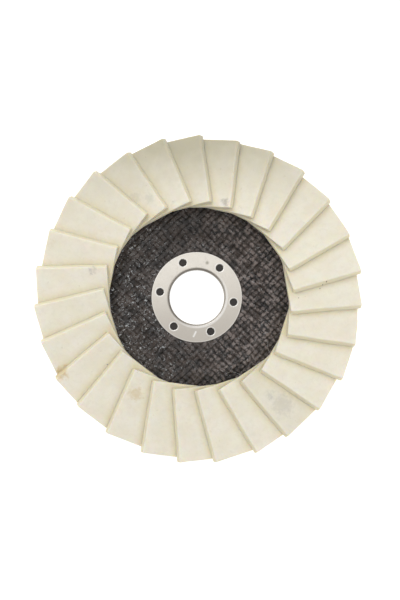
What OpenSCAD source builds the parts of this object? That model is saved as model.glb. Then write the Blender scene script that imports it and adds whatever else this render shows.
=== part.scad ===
// Felt flap polishing wheel for an angle grinder.
// Felt flaps are laid like shingles round a dished glass-fibre plate and glued to it, and a
// pressed steel ring on each side of the hub makes the bore. The bore is along Z, the flaps
// face +Z, and the back hub ring seats on the plane z = 0.

/* [Felt flaps] */
// Number of flaps round the wheel
flap_count = 27; // [24:1:30]
// Width of one flap, across its slope
flap_w = 24; // [20:0.5:27]
// Length of one flap, from its inner end to its outer end
flap_len = 28; // [22:0.2:28.6]
// Distance from the ring's centre to a flap's outer end
flap_reach = 63.2; // [61:0.2:66]
// Thickness of the felt, measured upright
felt_t = 2.9; // [2:0.1:3.6]
// Free height between one flap and the next
felt_gap = 0.2; // [0.15:0.05:0.4]
// How much further clockwise a flap's underside lies than its top
wall_lean = 1.3; // [0.4:0.1:1.4]
// How far each side of a flap draws in at its inner end
inner_pinch = 0.8; // [0:0.1:1.5]
// How much is trimmed off a flap's hidden outer corner
corner_trim = 1.4; // [0:0.1:2]
// Angle of the first flap, clockwise from +Y
first_flap = -10; // [-20:0.5:20]
// How far the ring of flaps was laid off centre, in X and Y
ring_shift = [0.9, -0.4];

/* [Hand laying] */
// Most that a flap is turned about its own middle, either way, in degrees
lay_turn = 2; // [0:0.1:3]
// Most that a flap is led round the wheel, either way, in degrees
lay_lead = 0.6; // [0:0.1:1]
// Most that a flap's outer end and inner end reach further, either way
lay_reach = 0.5; // [0:0.1:1]
// Picks one uneven laying out of many
lay_seed = 27; // [1:1:99]

/* [Adhesive] */
// Thickness of the adhesive under a flap's low edge
bed_t = 1; // [0.9:0.1:2]
// How far the adhesive stays inside a flap's inner and outer ends
bed_inset = 3; // [1.5:0.1:5]
// Free space between the adhesive and the felt
bed_gap = 0.08; // [0.03:0.01:0.15]

/* [Backing plate] */
// Outer diameter of the plate
plate_d = 117; // [112:1:120]
// Thickness of each of the three plies
ply_t = 1; // [0.8:0.05:1.2]
// How far the hub is set back from the outer part of the plate
dish_depth = 4.5; // [3.5:0.1:5.5]
// Slope of the dish's wall
dish_slope = 35; // [30:1:45]
// Radius of the hub's flat floor
hub_flat_r = 23; // [21.5:0.25:24.5]
// Bend radius at the back of the plate, at the foot of the wall
foot_bend_r = 5; // [4.5:0.1:5.5]
// Bend radius at the back of the plate, at the head of the wall
head_bend_r = 2.3; // [1.5:0.1:2.6]

/* [Hub rings] */
// Diameter of the bore
bore_d = 22.23; // [20:0.01:24]
// Thickness of the pressed sheet
ring_t = 0.5; // [0.4:0.05:0.6]
// Outer diameter of both rings
ring_d = 36.8; // [36.2:0.1:40]
// Radius of the lip that rolls into the bore
lip_r = 1; // [0.8:0.05:1.2]
// Radial width of the collar's flared end
flare_w = 1; // [0.8:0.05:1.1]
// How far the flared end stays above the back seat
flare_inset = 0.1; // [0.05:0.01:0.3]
// Free space between faces that nest at the flare
nest_gap = 0.03; // [0.02:0.01:0.06]
// Free space round the collar in the plies
collar_gap = 0.085; // [0.05:0.005:0.15]

/* [Punched holes] */
// Number of punched holes in each ring
punch_count = 6; // [4:1:8]
// Diameter of a punched hole
punch_d = 3; // [2:0.1:3.4]
// Diameter of the circle of hole centres
punch_pcd = 30.2; // [29.6:0.1:30.6]
// Angle of the first hole, from +X
punch_start = 52; // [0:1:60]
// Wall of the burr that a punch leaves round its hole
burr_wall = 0.35; // [0.2:0.05:0.4]
// How far a burr bites into the plies
burr_bite = 0.7; // [0.3:0.05:0.7]
// Free space round a burr
burr_gap = 0.05; // [0.03:0.01:0.08]

/* [Hidden] */
$fn = 96;
eps = 0.01;
bend_steps = 6;

// How unevenly each flap was laid, as shares of the Hand laying values: turn, lead, outer
// reach and inner reach, one after the other.
lay_shares = rands(-1, 1, 4 * flap_count, lay_seed);

pitch = 360 / flap_count;
step_h = felt_t + felt_gap;
rise = step_h / pitch;
flap_mid = flap_reach - flap_len / 2;
foot_x = flap_w / 2 - wall_lean / 2;

plate_t = 3 * ply_t;
hub_z = ring_t;
rim_z = hub_z + dish_depth;
felt_z = rim_z + plate_t + bed_t;
bends = foot_bend_r + head_bend_r;
head_r = hub_flat_r
    + (bends + (dish_depth - bends) * cos(dish_slope)) / sin(dish_slope);

bore_r = bore_d / 2;
collar_r = bore_r + ring_t;
ply_bore_r = collar_r + collar_gap;
hub_top = hub_z + plate_t;
// A 45 degree face is named by r + z, which is the same all along it.
flare_in = bore_r + flare_w + flare_inset;
flare_out = flare_in + ring_t * sqrt(2);
seat_in = flare_out + nest_gap * sqrt(2);
seat_out = seat_in + ring_t * sqrt(2);
sink_face = seat_out + nest_gap * sqrt(2);

function flap_name(i) = str("felt_flap_", i < 10 ? "0" : "", i);

// ---- Felt flaps ----

function clockwise(p, a) = [p.x * cos(a) + p.y * sin(a), p.y * cos(a) - p.x * sin(a)];

function lay(most, row, i) = most * lay_shares[row * flap_count + (i - 1) % flap_count];

// Where a point of flap i's own outline lies, in a frame with the flap's seat on +Y.
function laid(i, p) = clockwise(
    [0, flap_mid] + clockwise(p - [0, flap_mid], lay(lay_turn, 0, i)),
    lay(lay_lead, 1, i));

// Underside of the sheet that a flap lies on: it climbs clockwise round the wheel, and
// is level along the flap's low edge.
function sheet_z(p) = felt_z + rise * (atan2(p.x, p.y) + asin(foot_x / norm(p)));

// Half the flap's width at distance y along it.
function half_w(y) = flap_w / 2
    - inner_pinch * (flap_reach - y) / flap_len;

// Point of a flap: u from -1 to 1 across, v from 0 to 1 outwards, lean shifts it
// clockwise and t lifts it off the sheet.
function flap_point(i, u, v, lean, t) =
    let (
        inner = flap_reach - flap_len - lay(lay_reach, 3, i),
        outer = flap_reach + lay(lay_reach, 2, i),
        trim = v < 1 ? 0 : corner_trim * max(0, -2 * u - 1),
        y = inner + (outer - inner) * v - trim,
        p = laid(i, [u * half_w(y) + lean, y])
    )
    [p.x, p.y, sheet_z(p) + t];

function quads(a, b, c, d) = [[a, b, c], [a, c, d]];

module felt_flap(i) {
    cols = 6;
    rows = 6;
    w = cols + 1;
    layer = w * (rows + 1);
    points = [for (side = [-1, 1], row = [0 : rows], col = [0 : cols])
        flap_point(i, 2 * col / cols - 1, row / rows,
            -side * wall_lean / 2, side > 0 ? felt_t : 0)];
    top_faces = [for (row = [0 : rows - 1], col = [0 : cols - 1])
        let (a = layer + row * w + col) each quads(a, a + w, a + w + 1, a + 1)];
    bottom_faces = [for (row = [0 : rows - 1], col = [0 : cols - 1])
        let (a = row * w + col) each quads(a, a + 1, a + w + 1, a + w)];
    end_faces = [for (col = [0 : cols - 1])
        let (a = col, b = rows * w + col) each concat(
            quads(a, a + layer, a + layer + 1, a + 1),
            quads(b, b + 1, b + 1 + layer, b + layer))];
    side_faces = [for (row = [0 : rows - 1])
        let (a = row * w, b = row * w + cols) each concat(
            quads(a, a + w, a + w + layer, a + layer),
            quads(b, b + layer, b + layer + w, b + w))];
    color("#e8e2d0")
        translate(ring_shift)
            rotate(-first_flap - (i - 1) * pitch)
                polyhedron(points, concat(top_faces, bottom_faces, end_faces, side_faces));
}

// ---- Adhesive bed ----

// Polar place [angle, radius] of the foot of flap i's low edge, or of its head, where
// the leaning edge overhangs, in the frame of flap i's seat.
function low_edge(i, y, lean) =
    let (p = laid(i, [-half_w(y) + lean - bed_gap, y])) [atan2(p.x, p.y), norm(p)];

function polar(q) = [q[1] * sin(q[0]), q[1] * cos(q[0])];

function next_flap(i) = i % flap_count + 1;

// One tooth of the bed at distance y along flap i: from the flap's own foot to just
// short of the next flap's overhanging low edge.
function tooth(i, y) =
    let (
        start = low_edge(i, y, wall_lean / 2),
        end = low_edge(next_flap(i), y, -wall_lean / 2) + [pitch, 0],
        turn = first_flap + (i - 1) * pitch
    )
    [for (s = [0, 0.5, 1])
        let (q = start + s * (end - start), top = sheet_z(polar(q)) - bed_gap)
        concat(clockwise(polar(q), turn), top)];

module adhesive_bed() {
    y_in = flap_reach - flap_len + bed_inset;
    y_out = min(flap_reach, plate_d / 2) - bed_inset / 2;
    bands = 3;
    tops = [for (k = [0 : bands], i = [1 : flap_count])
        each tooth(i, y_in + (y_out - y_in) * k / bands)];
    n = len(tops);
    ring = n / (bands + 1);
    points = concat(tops, [for (p = tops) [p.x, p.y, rim_z + plate_t]]);
    walls = [for (j = [0 : ring - 1])
        let (a = j, b = (j + 1) % ring, last = bands * ring) each concat(
            quads(a, b, b + n, a + n),
            quads(last + b, last + a, last + a + n, last + b + n))];
    faces = [for (k = [0 : bands - 1], j = [0 : ring - 1])
        let (a = k * ring + j, b = k * ring + (j + 1) % ring) each concat(
            quads(a, a + ring, b + ring, b),
            quads(a + n, b + n, b + ring + n, a + ring + n))];
    color("#b9ab86")
        translate(ring_shift)
            polyhedron(points, concat(faces, walls));
}

// ---- Backing plate ----

function arc(c, r, from, to) = [for (k = [0 : bend_steps])
    let (a = from + (to - from) * k / bend_steps) c + r * [cos(a), sin(a)]];

// Section line of the plate at height h above its back face, from the hub outwards.
function dish_line(h) = concat(
    arc([hub_flat_r, hub_z + foot_bend_r], foot_bend_r - h, -90, dish_slope - 90),
    arc([head_r, rim_z - head_bend_r], head_bend_r + h, 90 + dish_slope, 90),
    [[plate_d / 2, rim_z + h]]);

function reversed(list) = [for (k = [len(list) - 1 : -1 : 0]) list[k]];

// Ply number k, counted from the back, with the bore cut out of it.
module ply(k) {
    low = k * ply_t;
    difference() {
        rotate_extrude()
            polygon(concat(
                [[0, hub_z + low]], dish_line(low),
                reversed(dish_line(low + ply_t)), [[0, hub_z + low + ply_t]]));
        bore_cut();
    }
}

// Room for the collar, its lip and the back ring's cone.
module bore_cut() {
    lip_top = hub_top + eps;
    lip_foot = hub_top - lip_r + ring_t;
    lip_reach = bore_r + lip_r + eps;
    rotate_extrude()
        polygon([
            [0, hub_z - eps], [sink_face - hub_z + eps, hub_z - eps],
            [ply_bore_r, sink_face - ply_bore_r], [ply_bore_r, lip_foot],
            [lip_reach, lip_top], [0, lip_top]]);
}

module at_punches() {
    for (k = [0 : punch_count - 1])
        rotate(punch_start + k * 360 / punch_count)
            translate([punch_pcd / 2, 0])
                children();
}

// Groove that a burr cuts, with the plug of laminate left inside it.
module burr_groove() {
    depth = burr_bite + burr_gap;
    difference() {
        translate([0, 0, -eps])
            cylinder(h = depth + eps, r = punch_d / 2 + burr_wall + burr_gap);
        translate([0, 0, -2 * eps])
            cylinder(h = depth + 3 * eps, r = punch_d / 2 - burr_gap);
    }
}

module front_glass_ply() {
    color("#4a4340")
        difference() {
            ply(2);
            translate([0, 0, hub_top]) mirror([0, 0, 1]) at_punches() burr_groove();
        }
}

module core_glass_ply() {
    color("#5a524d") ply(1);
}

module back_glass_ply() {
    color("#45403c")
        difference() {
            ply(0);
            translate([0, 0, hub_z]) at_punches() burr_groove();
        }
}

// ---- Hub rings ----

// Burrs on a ring whose inner face is at z = 0, reaching up into the laminate.
module burrs() {
    at_punches()
        translate([0, 0, -ring_t])
            cylinder(h = ring_t + burr_bite, r = punch_d / 2 + burr_wall);
}

module punches() {
    at_punches()
        translate([0, 0, -ring_t - eps])
            cylinder(h = ring_t + burr_bite + 2 * eps, r = punch_d / 2);
}

module front_hub_ring() {
    lip = [bore_r + lip_r, hub_top + ring_t - lip_r];
    flare_r = bore_r + flare_w;
    bevel = ring_t / sqrt(2);
    color("#cfc8be")
        difference() {
            union() {
                rotate_extrude()
                    polygon(concat(
                        arc(lip, lip_r, 180, 90),
                        [[ring_d / 2, hub_top + ring_t], [ring_d / 2, hub_top]],
                        arc(lip, lip_r - ring_t, 90, 180),
                        [[collar_r, flare_out - collar_r],
                         [flare_r + bevel, flare_inset + bevel],
                         [flare_r, flare_inset],
                         [bore_r, flare_in - bore_r]]));
                translate([0, 0, hub_top]) mirror([0, 0, 1]) burrs();
            }
            translate([0, 0, hub_top]) mirror([0, 0, 1]) punches();
        }
}

module back_hub_ring() {
    cone_r = collar_r + 4 * nest_gap;
    bevel = ring_t / sqrt(2);
    color("#c9c2b8")
        difference() {
            union() {
                rotate_extrude()
                    polygon([
                        [seat_in, 0], [ring_d / 2, 0], [ring_d / 2, ring_t],
                        [seat_out - ring_t, ring_t],
                        [cone_r + bevel, seat_in - cone_r + bevel],
                        [cone_r, seat_in - cone_r]]);
                translate([0, 0, ring_t]) burrs();
            }
            translate([0, 0, ring_t]) punches();
        }
}

for (i = [1 : flap_count])
    felt_flap(i);
adhesive_bed();
front_glass_ply();
core_glass_ply();
back_glass_ply();
front_hub_ring();
back_hub_ring();
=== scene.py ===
"""Felt flap polishing wheel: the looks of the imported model, lit on a pale studio floor."""

import math

import bmesh
import bpy
from mathutils import Matrix, Vector, noise
from mathutils.bvhtree import BVHTree


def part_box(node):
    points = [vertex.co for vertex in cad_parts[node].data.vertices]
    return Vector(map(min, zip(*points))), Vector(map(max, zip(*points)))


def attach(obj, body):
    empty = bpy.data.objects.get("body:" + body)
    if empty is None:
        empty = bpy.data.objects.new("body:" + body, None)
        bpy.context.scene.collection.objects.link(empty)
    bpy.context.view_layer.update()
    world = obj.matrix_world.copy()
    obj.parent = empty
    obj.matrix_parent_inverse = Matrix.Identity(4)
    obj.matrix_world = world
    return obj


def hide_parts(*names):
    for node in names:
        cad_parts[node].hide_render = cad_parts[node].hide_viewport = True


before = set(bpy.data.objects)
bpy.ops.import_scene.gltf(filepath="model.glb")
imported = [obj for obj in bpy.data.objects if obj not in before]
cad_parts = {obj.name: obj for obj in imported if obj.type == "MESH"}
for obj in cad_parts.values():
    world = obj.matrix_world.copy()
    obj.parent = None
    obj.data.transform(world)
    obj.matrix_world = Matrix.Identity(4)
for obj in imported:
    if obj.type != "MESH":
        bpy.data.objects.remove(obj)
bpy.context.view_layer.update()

MM = 0.001

# Camera: where it aims, how far it stands back, and its lean towards the wheel's lower edge.
AIM = Vector((1.34, -1.21, 4.0)) * MM
CAMERA_DISTANCE = 315.4 * MM
CAMERA_LEAN = math.radians(-3.5)
CAMERA_SIDE = math.radians(0.5)
CAMERA_LENS = 46.56

# Felt flaps
FLAP_COUNT = 27
FIRST_FLAP = -10
SOFT_CORNER = 0.3 * MM
UNDER_CORNER = 0.12 * MM
HAND_CUT_WANDER = 0.1 * MM
NAP_DIP = 0.22 * MM

# Felt colours
FELT_PALE = (0.885, 0.845, 0.735)
FELT_WARM = (0.855, 0.805, 0.675)
FELT_SHADE = (0.78, 0.735, 0.61)
FELT_FIBRE = (0.93, 0.90, 0.80)
# Cut-edge colour: the felt's own yellower tone, darkened as painted shade.
FELT_CUT_EDGE_SHADED = (0.80, 0.725, 0.50)
# Colour of the painted shadow beside the seams.
FELT_SEAM_SHADOW = (0.75, 0.665, 0.43)
# Darker, yellower felt colour, used towards the top of the wheel.
FELT_DARKENED = (0.55, 0.515, 0.39)
FELT_BROWN = (0.66, 0.50, 0.25)
FELT_GREY = (0.36, 0.35, 0.31)

# Stains on the felt: degrees clockwise from +Y, distance out and height up to it in one
# (radius, height) pair, size, strength and colour. Lengths are in millimetres.
STAINS = (
    (240, (60.5, 15), 6, 0.7, FELT_BROWN),
    (212, (45, 16), 6, 0.45, FELT_BROWN),
    (142, (54, 15), 9, 0.22, FELT_GREY),
    (144, (48, 16), 4, 0.22, FELT_GREY),
    (328, (46, 17), 5, 0.2, FELT_GREY),
    (334, (42, 18), 4, 0.18, FELT_GREY),
    (17, (38, 19), 3.2, 0.55, FELT_GREY),
    (26, (38.5, 19), 2.6, 0.4, FELT_GREY),
    (346, (37.5, 19), 2.6, 0.3, FELT_GREY),
    (283.5, (41.5, 18), 3.2, 0.4, FELT_GREY),
    (290, (61, 14), 5, 0.2, FELT_BROWN),
)

# Dark specks on the felt, placed the same way.
SPECKS = (
    (84.2, (51, 16), 0.45), (85.4, (49.6, 16), 0.4), (87, (48.4, 16), 0.35),
    (91.8, (39.8, 18), 0.45), (47, (39, 18), 0.4), (20, (39.2, 18), 0.4),
    (232, (44, 17), 0.3),
)
SPECK_DARK = (0.10, 0.085, 0.07)

# Colours of the backing plate
RESIN_DARK = (0.011, 0.009, 0.008)
RESIN_BROWN = (0.050, 0.036, 0.029)
# Paler yarn facets: partly worn yarn, partly painted sheen.
YARN_WORN_AND_LIT = (0.21, 0.17, 0.155)
# Colour of the painted glints.
PAINTED_GLINT = (0.62, 0.65, 0.67)
# Colour of the painted highlights on the steel.
STEEL_HIGHLIGHT = (1.0, 0.985, 0.955)

# Woven glass cloth
YARN_PITCH = 2.1 * MM
YARN_WIDTH = 1.85 * MM
YARN_CROWN = 0.2 * MM
YARN_LIFT = 0.09 * MM
YARN_THICK = 0.16 * MM
CLOTH_TURN = math.radians(45)

# Stray hairs: degrees clockwise from +Y and distance out of the root, length and bend.
STRAY_FIBRES = (
    (263, 38.6, 7, 75), (266, 38.6, 5, -60), (259, 38.6, 6, 110), (150, 38.6, 9, -90),
    (128, 38.6, 6, 70), (215, 38.6, 6, -80), (112, 38.6, 5, 60), (298, 38.6, 4, 90),
)
FIBRE_STEPS = 12
FIBRE_RADIUS = 0.07 * MM

# Hub rings
HOLE_COUNT = 6
HOLE_START = 52
HOLE_CIRCLE = 15.1
HOLE_RIM = 2.35
HOLE_BAND = (13 * MM, 17.5 * MM)
MOUTH_ROUND = 0.3 * MM

ring_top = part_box("front_hub_ring")[1].z
ring_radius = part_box("front_hub_ring")[1].x
plate_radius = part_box("front_glass_ply")[1].x
bed_inner = 38.2 * MM


def on_wheel(around, outward):
    """Point in millimetres at an angle clockwise from +Y and a (radius, height) pair."""
    angle = math.radians(around)
    radius, height = outward
    return Vector((radius * math.sin(angle), radius * math.cos(angle), height))


# ---- Materials -------------------------------------------------------------------------


class Wire:
    """The output of a shader node, with the operators that a pattern is written in."""

    def __init__(self, finish, socket):
        self.finish = finish
        self.socket = socket

    def __add__(self, other):
        return self.finish.sum("ADD", self, other)

    __radd__ = __add__

    def __sub__(self, other):
        return self.finish.sum("SUBTRACT", self, other)

    def __rsub__(self, other):
        return self.finish.sum("SUBTRACT", other, self)

    def __mul__(self, other):
        return self.finish.sum("MULTIPLY", self, other)

    __rmul__ = __mul__

    def __truediv__(self, other):
        return self.finish.sum("DIVIDE", self, other)

    def __pow__(self, other):
        return self.finish.sum("POWER", self, other)

    def __abs__(self):
        return self.finish.sum("ABSOLUTE", self, 0.0)

    def rise(self, low, high):
        """0 below low, 1 above high, and smooth between them."""
        return self.finish.node(
            "ShaderNodeMapRange", {"interpolation_type": "SMOOTHSTEP"},
            {"Value": self, "From Min": low, "From Max": high})


class Finish:
    """A material whose patterns are written as expressions on wires."""

    def __init__(self, name, **constants):
        self.material = bpy.data.materials.new(name)
        self.material.use_nodes = True
        self.tree = self.material.node_tree
        self.shader = self.tree.nodes["Principled BSDF"]
        for socket, value in constants.items():
            self.shader.inputs[socket.replace("_", " ")].default_value = value

    def node(self, kind, settings, inputs, output=0):
        """One node: its settings first, then the values or wires of its sockets."""
        made = self.tree.nodes.new(kind)
        for name, value in settings.items():
            if name == "stops":
                ramp = made.color_ramp
                while len(ramp.elements) < len(value):
                    ramp.elements.new(0.5)
                for element, (place, colour) in zip(ramp.elements, value):
                    element.position = place
                    element.color = (*colour, 1)
            else:
                setattr(made, name, value)
        for name, value in inputs.items():
            self.feed(made.inputs[name], value)
        return Wire(self, made.outputs[output])

    def feed(self, socket, value):
        if isinstance(value, Wire):
            self.tree.links.new(value.socket, socket)
        elif isinstance(value, tuple) and socket.type == "RGBA":
            socket.default_value = (*value, 1)
        else:
            socket.default_value = value

    def sum(self, operation, a, b):
        return self.node("ShaderNodeMath", {"operation": operation}, {0: a, 1: b})

    def place(self, stretch=(1, 1, 1), turn=(0, 0, 0)):
        """Object coordinates in millimetres, turned and stretched."""
        coordinates = self.node("ShaderNodeTexCoord", {}, {}, "Object")
        return self.node(
            "ShaderNodeMapping", {},
            {"Vector": coordinates, "Rotation": turn, "Scale": Vector(stretch) / MM})

    def moved(self, place, seed):
        """The same place, shifted by a wire, so that each piece has its own pattern."""
        offset = self.node("ShaderNodeCombineXYZ", {}, {0: seed, 1: seed * 0.7, 2: seed * 1.3})
        return self.node("ShaderNodeVectorMath", {"operation": "ADD"}, {0: place, 1: offset})

    def grain(self, place, size, detail=2.0, roughness=0.5, distortion=0.0):
        """Soft noise of about that size in millimetres."""
        return self.node(
            "ShaderNodeTexNoise", {},
            {"Vector": place, "Scale": 1 / size, "Detail": detail,
             "Roughness": roughness, "Distortion": distortion})

    def near(self, place, spot, radius):
        """1 at a spot in millimetres, fading to 0 at the radius."""
        away = self.node(
            "ShaderNodeVectorMath", {"operation": "DISTANCE"},
            {0: place, 1: spot}, "Value")
        return 1 - away.rise(0.0, radius)

    def ramp_along(self, place, way, start, end):
        """0 to 1 along a direction, between two distances in millimetres."""
        along = self.node("ShaderNodeVectorMath", {"operation": "DOT_PRODUCT"},
                          {0: place, 1: way}, "Value")
        return along.rise(start, end)

    def attribute(self, name):
        return self.node("ShaderNodeAttribute", {"attribute_name": name}, {}, "Fac")

    def mix(self, factor, a, b, mode="MIX"):
        return self.node(
            "ShaderNodeMix", {"data_type": "RGBA", "blend_type": mode},
            {0: factor, 6: a, 7: b}, 2)

    def bump(self, height, strength, depth, under=None):
        inputs = {"Height": height, "Strength": strength, "Distance": depth}
        if under:
            inputs["Normal"] = under
        return self.node("ShaderNodeBump", {}, inputs)

    def set(self, **sockets):
        for name, value in sockets.items():
            self.feed(self.shader.inputs[name.replace("_", " ")], value)
        return self.material


def pressed_felt():
    """Wool felt: clouded cream faces, cut edges yellower and darker in part as painted shade,
    painted shadow beside the seams, darker towards the top, stains and stray specks.
    """
    felt = Finish(
        "pressed_felt", Specular_IOR_Level=0.15, Sheen_Weight=0.2, Sheen_Roughness=0.6,
        Subsurface_Weight=0.6, Subsurface_Radius=(1.4, 1.05, 0.5), Subsurface_Scale=1.2 * MM)
    wheel = felt.place()
    place = felt.moved(wheel, felt.attribute("lot") * 37)
    cut = felt.attribute("cut")
    cloud = felt.grain(place, 8, 3, 0.55)
    mottle = felt.grain(place, 1.7, 3, 0.6, 0.6)
    fibre = felt.grain(place, 0.2, 3, 0.7, 1.4)
    colour = felt.mix(cloud.rise(0.32, 0.68), FELT_PALE, FELT_WARM)
    colour = felt.mix(mottle.rise(0.4, 0.75) * 0.4, colour, FELT_SHADE)
    colour = felt.mix(fibre.rise(0.55, 0.85) * 0.3, colour, FELT_FIBRE)
    # Cut edges: the yellower tone of cut felt, made darker as painted shade of the edge walls.
    colour = felt.mix(cut.rise(0.2, 0.55) * 0.85, colour, FELT_CUT_EDGE_SHADED)
    # Painted shadow on the lower flap, beside the foot of the wall of the flap over it.
    seam_shadow = 1 - felt.attribute("past_seam").rise(-0.6, 3.4)
    colour = felt.mix(seam_shadow * (0.3 + 0.4 * mottle), colour, FELT_SEAM_SHADOW)
    # The felt made darker and yellower towards the top of the wheel, most at the flaps' outer
    # ends.
    darkened = felt.attribute("grime") * (0.8 + 0.4 * felt.grain(place, 4, 3))
    colour = felt.mix(darkened, colour, FELT_DARKENED)
    blotch = felt.grain(wheel, 1.4, 4, 0.65)
    for around, outward, size, strength, tint in STAINS:
        spot = felt.near(wheel, on_wheel(around, outward), size)
        ragged = (spot * 1.5 + blotch * 2.6 - 1.7).rise(0.0, 1.0)
        colour = felt.mix(ragged * strength, colour, tint)
    for around, outward, size in SPECKS:
        speck = felt.near(felt.place((1, 1, 0.2)), on_wheel(around, (outward[0], 3.3)), size)
        colour = felt.mix(speck.rise(0.0, 0.6) * 0.8, colour, SPECK_DARK)
    height = 0.65 * fibre + 0.35 * mottle
    return felt.set(
        Base_Color=colour,
        Roughness=0.85 + 0.12 * mottle,
        Normal=felt.bump(height, 0.6, 0.18 * MM))


def resin_soaked_yarn():
    """Glass yarn in black-brown resin: paler crest facets, partly worn and partly painted sheen,
    with painted glints.
    """
    yarn = Finish("resin_soaked_yarn", Specular_IOR_Level=0.5)
    place = yarn.place()
    crest = yarn.attribute("crest")
    patch = yarn.grain(place, 5, 3)
    clump = yarn.grain(place, 2.4, 3, 0.6)
    worn = yarn.grain(place, 2.2, 4, 0.6, 0.8)
    beads = yarn.grain(place, 0.8, 3, 0.65, 0.8)
    flake = yarn.grain(place, 0.95, 2, 0.5, 0.5)
    sliver = yarn.grain(yarn.place((1, 4, 1), (0, 0, CLOTH_TURN)), 0.9, 2)
    cross = yarn.grain(yarn.place((4, 1, 1), (0, 0, CLOTH_TURN)), 0.9, 2)
    right = yarn.ramp_along(place, Vector((0.95, -0.1, 0)), -12, 26)
    left = yarn.ramp_along(place, Vector((-1, -0.1, 0)), 4, 28)
    colour = yarn.mix(patch.rise(0.3, 0.7), RESIN_DARK, RESIN_BROWN)
    # Paler facets on the yarn crests, stronger towards the right: partly worn yarn, partly
    # painted sheen where the slope faces the light.
    wear_and_sheen = (0.28 * crest + worn).rise(0.58, 0.8) * clump.rise(0.3, 0.55) * (0.2 + 0.8 * right)
    colour = yarn.mix(wear_and_sheen, colour, YARN_WORN_AND_LIT)
    # Painted glints along short streaks of glass, stronger towards the left.
    strand_glint = (sliver.rise(0.6, 0.7) + cross.rise(0.6, 0.7)) * clump.rise(0.35, 0.6)
    colour = yarn.mix(strand_glint * (0.2 + 0.4 * left), colour, PAINTED_GLINT)
    # Painted glints: pale flecks for the resin's sparkle, stronger towards the left.
    painted_sparkle = flake.rise(0.61, 0.68) * clump.rise(0.42, 0.6)
    colour = yarn.mix(painted_sparkle * (0.25 + 0.75 * left), colour, PAINTED_GLINT)
    height = 0.7 * beads + 0.3 * flake
    return yarn.set(
        Base_Color=colour,
        Roughness=0.22 + 0.4 * beads,
        Normal=yarn.bump(height, 0.9, 0.3 * MM))


def black_resin():
    resin = Finish("black_resin", Specular_IOR_Level=0.5)
    place = resin.place()
    pools = resin.grain(place, 2.2, 3)
    pits = resin.grain(place, 0.4, 2)
    colour = resin.mix(pools, (0.010, 0.008, 0.007), (0.035, 0.028, 0.024))
    return resin.set(
        Base_Color=colour,
        Roughness=0.3 + 0.4 * pits,
        Normal=resin.bump(0.5 * pools + 0.5 * pits, 0.6, 0.2 * MM))


def pressed_steel():
    """Plated steel sheet: satin, faintly speckled, with a few rubs; painted shade on one dented
    spot, towards the bottom and at the bore's edge, and painted highlights round the hole mouths,
    on the bore's edge and along the outer edge.
    """
    steel = Finish("pressed_steel", Metallic=1.0)
    place = steel.place()
    speckle = steel.grain(place, 0.35, 3, 0.6)
    cloud = steel.grain(place, 5, 2)
    rub = steel.grain(steel.place((1, 6, 1), (0, 0, 0.7)), 1.2, 2)
    colour = steel.mix(cloud, (0.80, 0.755, 0.685), (0.90, 0.855, 0.78))
    colour = steel.mix(speckle.rise(0.5, 0.8) * 0.4, colour, (0.60, 0.55, 0.49))
    smudge = steel.grain(place, 1.6, 4, 0.7)
    colour = steel.mix(smudge.rise(0.5, 0.75) * 0.3, colour, (0.62, 0.57, 0.50))
    # Painted shade: the ring made darker towards the bottom.
    lower = steel.ramp_along(place, Vector((0.15, -0.99, 0)), -16, 18)
    colour = steel.mix(lower * 0.8, colour, (0.53, 0.49, 0.435))
    # Painted shade of a dented spot: a dark patch; the geometry stays flat there.
    dent_shade = steel.near(place, on_wheel(17, (14.6, 4)), 1.1)
    colour = steel.mix(dent_shade * 0.8, colour, (0.30, 0.28, 0.22))
    for side in (-0.9, -0.3, 0.3, 0.9):
        streak = steel.near(place, on_wheel(183 + 1.6 * side, (15.1 + side, 4)), 0.65)
        colour = steel.mix(streak * 0.9, colour, (0.97, 0.96, 0.94))
    # Painted highlight: a pale halo round each hole's mouth.
    for hole in range(HOLE_COUNT):
        turn = 90 - HOLE_START - hole * 360 / HOLE_COUNT
        rim_highlight = steel.near(place, on_wheel(turn, (HOLE_CIRCLE, ring_top / MM)), HOLE_RIM)
        colour = steel.mix(rim_highlight.rise(0.0, 0.16) * 0.7, colour, STEEL_HIGHLIGHT)
    flat = steel.node("ShaderNodeVectorMath", {"operation": "MULTIPLY"}, {0: place, 1: (1, 1, 0)})
    radius = steel.node("ShaderNodeVectorMath", {"operation": "LENGTH"}, {0: flat}, "Value")
    upper_left = steel.ramp_along(place, Vector((-0.7, 0.7, 0)), -10, 5)
    # Painted highlight: a bright arc on the bore's edge, away from the upper left.
    lip_highlight = radius.rise(11.6, 12.0) * (1 - radius.rise(12.3, 13.0)) * (1 - upper_left)
    colour = steel.mix(lip_highlight * 0.6, colour, STEEL_HIGHLIGHT)
    # Painted shade: the bore's edge darkened, most at the upper left.
    lip_shade = (1 - radius.rise(11.5, 12.4)) * (0.3 + 0.55 * upper_left)
    colour = steel.mix(lip_shade, colour, (0.16, 0.14, 0.12))
    # Painted highlight along the ring's outer edge.
    colour = steel.mix(radius.rise(17.8, 18.3) * 0.35, colour, STEEL_HIGHLIGHT)
    return steel.set(
        Base_Color=colour,
        Roughness=0.36 + 0.12 * speckle + 0.08 * rub,
        Normal=steel.bump(0.6 * speckle + 0.4 * rub, 0.3, 0.04 * MM))


def cured_adhesive():
    glue = Finish("cured_adhesive", Specular_IOR_Level=0.5)
    place = glue.place()
    clouds = glue.grain(place, 3, 3)
    beads = glue.grain(place, 0.7, 2)
    colour = glue.mix(clouds, (0.36, 0.27, 0.13), (0.52, 0.43, 0.26))
    return glue.set(
        Base_Color=colour,
        Roughness=0.3 + 0.25 * beads,
        Normal=glue.bump(beads, 0.5, 0.3 * MM))


# ---- Mesh helpers ----------------------------------------------------------------------


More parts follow.
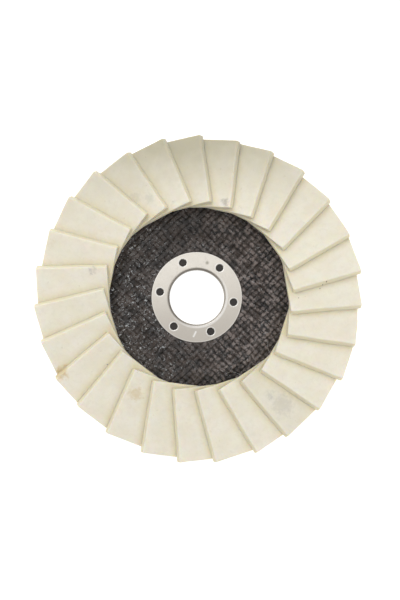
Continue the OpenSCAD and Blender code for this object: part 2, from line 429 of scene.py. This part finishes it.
def merged_copy(node, flat=math.radians(20)):
    """A bmesh copy of a CAD node with its doubles merged and its triangles joined."""
    mesh = bmesh.new()
    mesh.from_mesh(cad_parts[node].data)
    bmesh.ops.remove_doubles(mesh, verts=mesh.verts, dist=0.001 * MM)
    bmesh.ops.join_triangles(
        mesh, faces=mesh.faces, angle_face_threshold=flat,
        angle_shape_threshold=math.radians(60))
    return mesh


def finished(name, mesh, material, smooth=True):
    """The bmesh as an object that rides on the wheel."""
    data = bpy.data.meshes.new(name)
    mesh.to_mesh(data)
    mesh.free()
    data.materials.append(material)
    for face in data.polygons:
        face.use_smooth = smooth
    piece = bpy.data.objects.new(name, data)
    bpy.context.scene.collection.objects.link(piece)
    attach(piece, "root")
    return piece


def subdivided(piece, levels):
    modifier = piece.modifiers.new("smooth", "SUBSURF")
    modifier.levels = levels
    modifier.render_levels = levels
    return piece


def clockwise_angle(point):
    """Angle of a point round the wheel, clockwise from +Y."""
    return math.atan2(point.x, point.y)


# ---- Felt flaps ------------------------------------------------------------------------


def flap_darkening(number, point):
    """How much the felt is darkened: most at the outer end of the flaps round the first one, with
    flaps 1 and 12 darker all over.
    """
    around = clockwise_angle(point) + math.radians(2)
    outward = min(1, max(0, (point.xy.length / MM - 37) / 25))
    top = max(0, math.cos(around)) ** 3.5
    grime = 1.1 * top * outward ** 1.2
    if number == 1:
        grime += 0.12
    if number == 12:
        grime += 0.15
    return grime


def seat_angle(number):
    """Angle of a flap's seat round the wheel, clockwise from +Y."""
    return math.radians(FIRST_FLAP + (number - 1) * 360 / FLAP_COUNT)


def clockwise_edge(number):
    """The two lower corners of a flap's clockwise side, inner one first."""
    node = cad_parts[f"felt_flap_{number:02d}"]
    turned = Matrix.Rotation(seat_angle(number), 3, "Z")
    corners = [vert.co for vert in node.data.vertices]
    inner = max(corners, key=lambda p: (turned @ p).x - (turned @ p).y - p.z)
    outer = max(corners, key=lambda p: (turned @ p).x + (turned @ p).y - p.z)
    return inner.copy(), outer.copy()


def felt_flap(number, felt):
    """One flap: its corners softened, its faces a little uneven, its finish's marks set."""
    node = f"felt_flap_{number:02d}"
    flap = merged_copy(node)
    bmesh.ops.subdivide_edges(flap, edges=flap.edges, cuts=1, use_grid_fill=True)
    for rounding, under in ((SOFT_CORNER, False), (UNDER_CORNER, True)):
        rims = [
            edge for edge in flap.edges
            if edge.calc_face_angle() > math.radians(40)
            and any(face.normal.z < -0.5 for face in edge.link_faces) == under]
        bmesh.ops.bevel(
            flap, geom=rims, offset=rounding, affect="EDGES", segments=2, profile=0.5,
            material=-1, clamp_overlap=True)
    flap.normal_update()
    shift = Vector((number * 3.1, number * 1.7, number * 5.3))
    cut = flap.verts.layers.float.new("cut")
    grime = flap.verts.layers.float.new("grime")
    lot = flap.verts.layers.float.new("lot")
    past_seam = flap.verts.layers.float.new("past_seam")
    inner, outer = clockwise_edge((number - 2) % FLAP_COUNT + 1)
    along = (outer - inner).xy.normalized()
    own_inner, own_outer = clockwise_edge(number)
    own_along = (own_outer - own_inner).xy.normalized()
    for vert in flap.verts:
        vert[cut] = 1 - abs(vert.normal.z)
        vert[grime] = flap_darkening(number, vert.co)
        vert[lot] = number
        vert[past_seam] = -along.cross((vert.co - inner).xy) / MM
    for vert in flap.verts:
        free = 1 + own_along.cross((vert.co - own_inner).xy) / (-8 * MM)
        wander = noise.noise_vector(vert.co / (7 * MM) + shift)
        ragged = noise.noise_vector(vert.co / (2.2 * MM) + shift)
        side = wander * HAND_CUT_WANDER * (1 + min(1, max(0, free)))
        side += ragged * HAND_CUT_WANDER * 0.5
        side.z = wander.z * HAND_CUT_WANDER * 0.8
        dip = max(0, noise.noise(vert.co / (4 * MM) + shift))
        if vert.normal.z > 0.7:
            side.z -= dip * NAP_DIP
        vert.co += side
    piece = finished(f"felt_{number:02d}", flap, felt)
    subdivided(piece, 1)
    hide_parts(node)
    return piece


# ---- Woven glass cloth -----------------------------------------------------------------


def surface_height(node, side):
    """Height of a CAD node's surface over a point, seen from above (1) or below (-1)."""
    copy = merged_copy(node)
    tree = BVHTree.FromBMesh(copy)
    copy.free()
    heights = []
    step = 0.25 * MM
    for ring in range(int(plate_radius / step) + 2):
        start = Vector((ring * step, 0.013 * MM, side * 0.1))
        hit = tree.ray_cast(start, Vector((0, 0, -side)))[0]
        heights.append(hit.z if hit else None)
    first = next(k for k, h in enumerate(heights) if h is not None)
    last = max(k for k, h in enumerate(heights) if h is not None)

    def height(radius):
        place = min(max(radius / step, first), last - 0.001)
        k = int(place)
        return heights[k] + (heights[k + 1] - heights[k]) * (place - k)

    return height


def woven_yarns(name, material, height, side, inner, outer, turn, parity):
    """One direction of a plain weave that follows the plate between two radii."""
    cloth = bmesh.new()
    crest = cloth.verts.layers.float.new("crest")
    steps_per_pitch = 4
    strands = 4 if side > 0 else 3
    along = Vector((math.cos(turn), math.sin(turn), 0))
    across = Vector((-along.y, along.x, 0))
    half_count = int(outer / YARN_PITCH) + 1
    rows = 2 * half_count * steps_per_pitch
    for number in range(-half_count, half_count + 1):
        strip = bmesh.ops.create_grid(
            cloth, x_segments=rows, y_segments=strands, size=1)["verts"]
        drift = number * 0.37
        for vert in strip:
            run = vert.co.x * half_count * YARN_PITCH
            wide = vert.co.y
            wobble = noise.noise(Vector((run / (9 * MM), drift, side + parity * 5)))
            squeeze = 1 + 0.25 * noise.noise(Vector((run / (3 * MM), drift, 9)))
            middle = (number + 0.5) * YARN_PITCH + wobble * 0.5 * MM
            middle += wide * squeeze * YARN_WIDTH / 2
            spot = along * run + across * middle
            wave = math.cos(math.pi * (run / YARN_PITCH - 0.5)) * (-1) ** number
            crown = 1 - 0.9 * wide * wide
            rough = noise.noise(spot / (0.9 * MM) + Vector((0, 0, parity * 3)))
            lift = YARN_LIFT + YARN_CROWN * (0.55 * wave + 0.45 * crown) + rough * 0.1 * MM
            radius = spot.xy.length
            if radius < inner:
                lift = -0.12 * MM
            if radius > outer:
                spot *= outer / radius
            vert.co = Vector((spot.x, spot.y, height(spot.xy.length) + side * lift))
            vert[crest] = min(1, max(0, 0.5 + 0.5 * wave)) * crown
    hidden = inner - YARN_PITCH / 2
    lost = [
        face for face in cloth.faces
        if all(v.co.xy.length > outer - 1e-6 for v in face.verts)
        or all(v.co.xy.length < hidden for v in face.verts)]
    bmesh.ops.delete(cloth, geom=lost, context="FACES")
    bmesh.ops.recalc_face_normals(cloth, faces=cloth.faces)
    if sum(face.normal.z for face in cloth.faces) * side < 0:
        bmesh.ops.reverse_faces(cloth, faces=cloth.faces)
    bmesh.ops.solidify(cloth, geom=cloth.faces, thickness=YARN_THICK)
    return finished(name, cloth, material)


def stray_fibres(felt, height):
    """Wool hairs that come out from under the flaps and lie on the cloth."""
    hairs = bmesh.new()
    cut = hairs.verts.layers.float.new("cut")
    lot = hairs.verts.layers.float.new("lot")
    past_seam = hairs.verts.layers.float.new("past_seam")
    for around, start, length, bend in STRAY_FIBRES:
        heading = math.radians(around) + math.pi
        spot = Vector((math.sin(math.radians(around)), math.cos(math.radians(around)), 0))
        spot *= start * MM
        stride = length * MM / FIBRE_STEPS
        rows = []
        for step in range(FIBRE_STEPS + 1):
            way = Vector((math.sin(heading), math.cos(heading), 0))
            across = Vector((way.y, -way.x, 0))
            level = height(spot.xy.length) + 0.42 * MM
            thin = FIBRE_RADIUS * (1 - 0.7 * step / FIBRE_STEPS)
            rows.append([
                hairs.verts.new(spot + across * (thin * math.cos(turn))
                                + Vector((0, 0, level + thin * math.sin(turn))))
                for turn in (0, math.pi / 2, math.pi, 3 * math.pi / 2)])
            spot = spot + way * stride
            heading += math.radians(bend) / FIBRE_STEPS
        for before, after in zip(rows, rows[1:]):
            for k in range(4):
                hairs.faces.new((before[k], before[(k + 1) % 4], after[(k + 1) % 4], after[k]))
        hairs.faces.new(reversed(rows[0]))
        hairs.faces.new(rows[-1])
    for vert in hairs.verts:
        vert[cut] = 0
        vert[lot] = 3
        vert[past_seam] = 5
    bmesh.ops.recalc_face_normals(hairs, faces=hairs.faces)
    return finished("stray_fibres", hairs, felt)


# ---- Hub rings -------------------------------------------------------------------------


def hub_ring(node, name, face, steel):
    """The pressed ring, with the mouths of its punched holes drawn in from its outer face."""
    ring = merged_copy(node, math.radians(1))
    mouths = [
        edge for edge in ring.edges
        if edge.calc_face_angle() > math.radians(40)
        and all(abs(v.co.z - face) < 0.01 * MM for v in edge.verts)
        and all(HOLE_BAND[0] < v.co.xy.length < HOLE_BAND[1] for v in edge.verts)]
    bmesh.ops.bevel(
        ring, geom=mouths, offset=MOUTH_ROUND, affect="EDGES", segments=3, profile=0.5,
        material=-1, clamp_overlap=True)
    piece = finished(name, ring, steel, smooth=False)
    rounding = piece.modifiers.new("rounding", "BEVEL")
    rounding.width = 0.09 * MM
    rounding.segments = 2
    rounding.limit_method = "ANGLE"
    rounding.angle_limit = math.radians(38)
    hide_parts(node)
    return piece


# ---- Studio ----------------------------------------------------------------------------


def studio_camera():
    lens = bpy.data.cameras.new("studio_camera")
    lens.lens = CAMERA_LENS
    lens.sensor_width = 36
    lens.clip_start = 0.01
    camera = bpy.data.objects.new("studio_camera", lens)
    bpy.context.scene.collection.objects.link(camera)
    back = Vector((
        math.sin(CAMERA_SIDE), math.sin(CAMERA_LEAN),
        math.cos(CAMERA_LEAN) * math.cos(CAMERA_SIDE))).normalized()
    right = Vector((0, 1, 0)).cross(back).normalized()
    camera.location = AIM + back * CAMERA_DISTANCE
    camera.rotation_euler = Matrix((right, back.cross(right), back)).transposed().to_euler()
    bpy.context.scene.camera = camera


def softbox(name, place, size, power):
    """A square light of that size in millimetres, turned to the wheel."""
    lamp = bpy.data.lights.new(name, "AREA")
    lamp.size = size * MM
    lamp.energy = power
    light = bpy.data.objects.new(name, lamp)
    light.location = Vector(place) * MM
    light.rotation_euler = light.location.to_track_quat("Z", "Y").to_euler()
    bpy.context.scene.collection.objects.link(light)


def studio_floor():
    sheet = bmesh.new()
    bmesh.ops.create_grid(sheet, x_segments=4, y_segments=4, size=3)
    data = bpy.data.meshes.new("floor")
    sheet.to_mesh(data)
    sheet.free()
    paint = Finish("floor_paint", Roughness=0.9, Specular_IOR_Level=0.0)
    paint.set(
        Base_Color=(0.5, 0.5, 0.5), Emission_Color=(1.0, 1.0, 1.0), Emission_Strength=0.85)
    data.materials.append(paint.material)
    floor = bpy.data.objects.new("floor", data)
    bpy.context.scene.collection.objects.link(floor)


def studio_light():
    softbox("key", (-210, 315, 430), 360, 1.08)
    softbox("fill", (300, -120, 460), 420, 0.62)
    world = bpy.data.worlds.new("studio")
    world.use_nodes = True
    sky = world.node_tree.nodes["Background"]
    sky.inputs["Color"].default_value = (1, 1, 1, 1)
    sky.inputs["Strength"].default_value = 0.605
    bpy.context.scene.world = world
    bpy.context.scene.view_settings.view_transform = "Standard"


# ---- The wheel -------------------------------------------------------------------------

studio_camera()
studio_floor()
studio_light()

felt = pressed_felt()
yarn = resin_soaked_yarn()
resin = black_resin()
steel = pressed_steel()
adhesive = cured_adhesive()

for number in range(1, FLAP_COUNT + 1):
    felt_flap(number, felt)

front_height = surface_height("front_glass_ply", 1)
back_height = surface_height("back_glass_ply", -1)
for parity, way in enumerate(("warp", "weft")):
    turn = CLOTH_TURN + parity * math.pi / 2
    woven_yarns(
        f"front_{way}_yarns", yarn, front_height, 1, ring_radius + 0.1 * MM, bed_inner,
        turn, parity)
    woven_yarns(
        f"back_{way}_yarns", yarn, back_height, -1, ring_radius + 0.1 * MM,
        plate_radius - 0.1 * MM, turn, parity)

stray_fibres(felt, front_height)
hub_ring("front_hub_ring", "front_ring", ring_top, steel)
hub_ring("back_hub_ring", "back_ring", 0.0, steel)

for node, material in (
        ("adhesive_bed", adhesive), ("front_glass_ply", resin),
        ("core_glass_ply", resin), ("back_glass_ply", resin)):
    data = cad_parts[node].data
    data.materials.clear()
    data.materials.append(material)
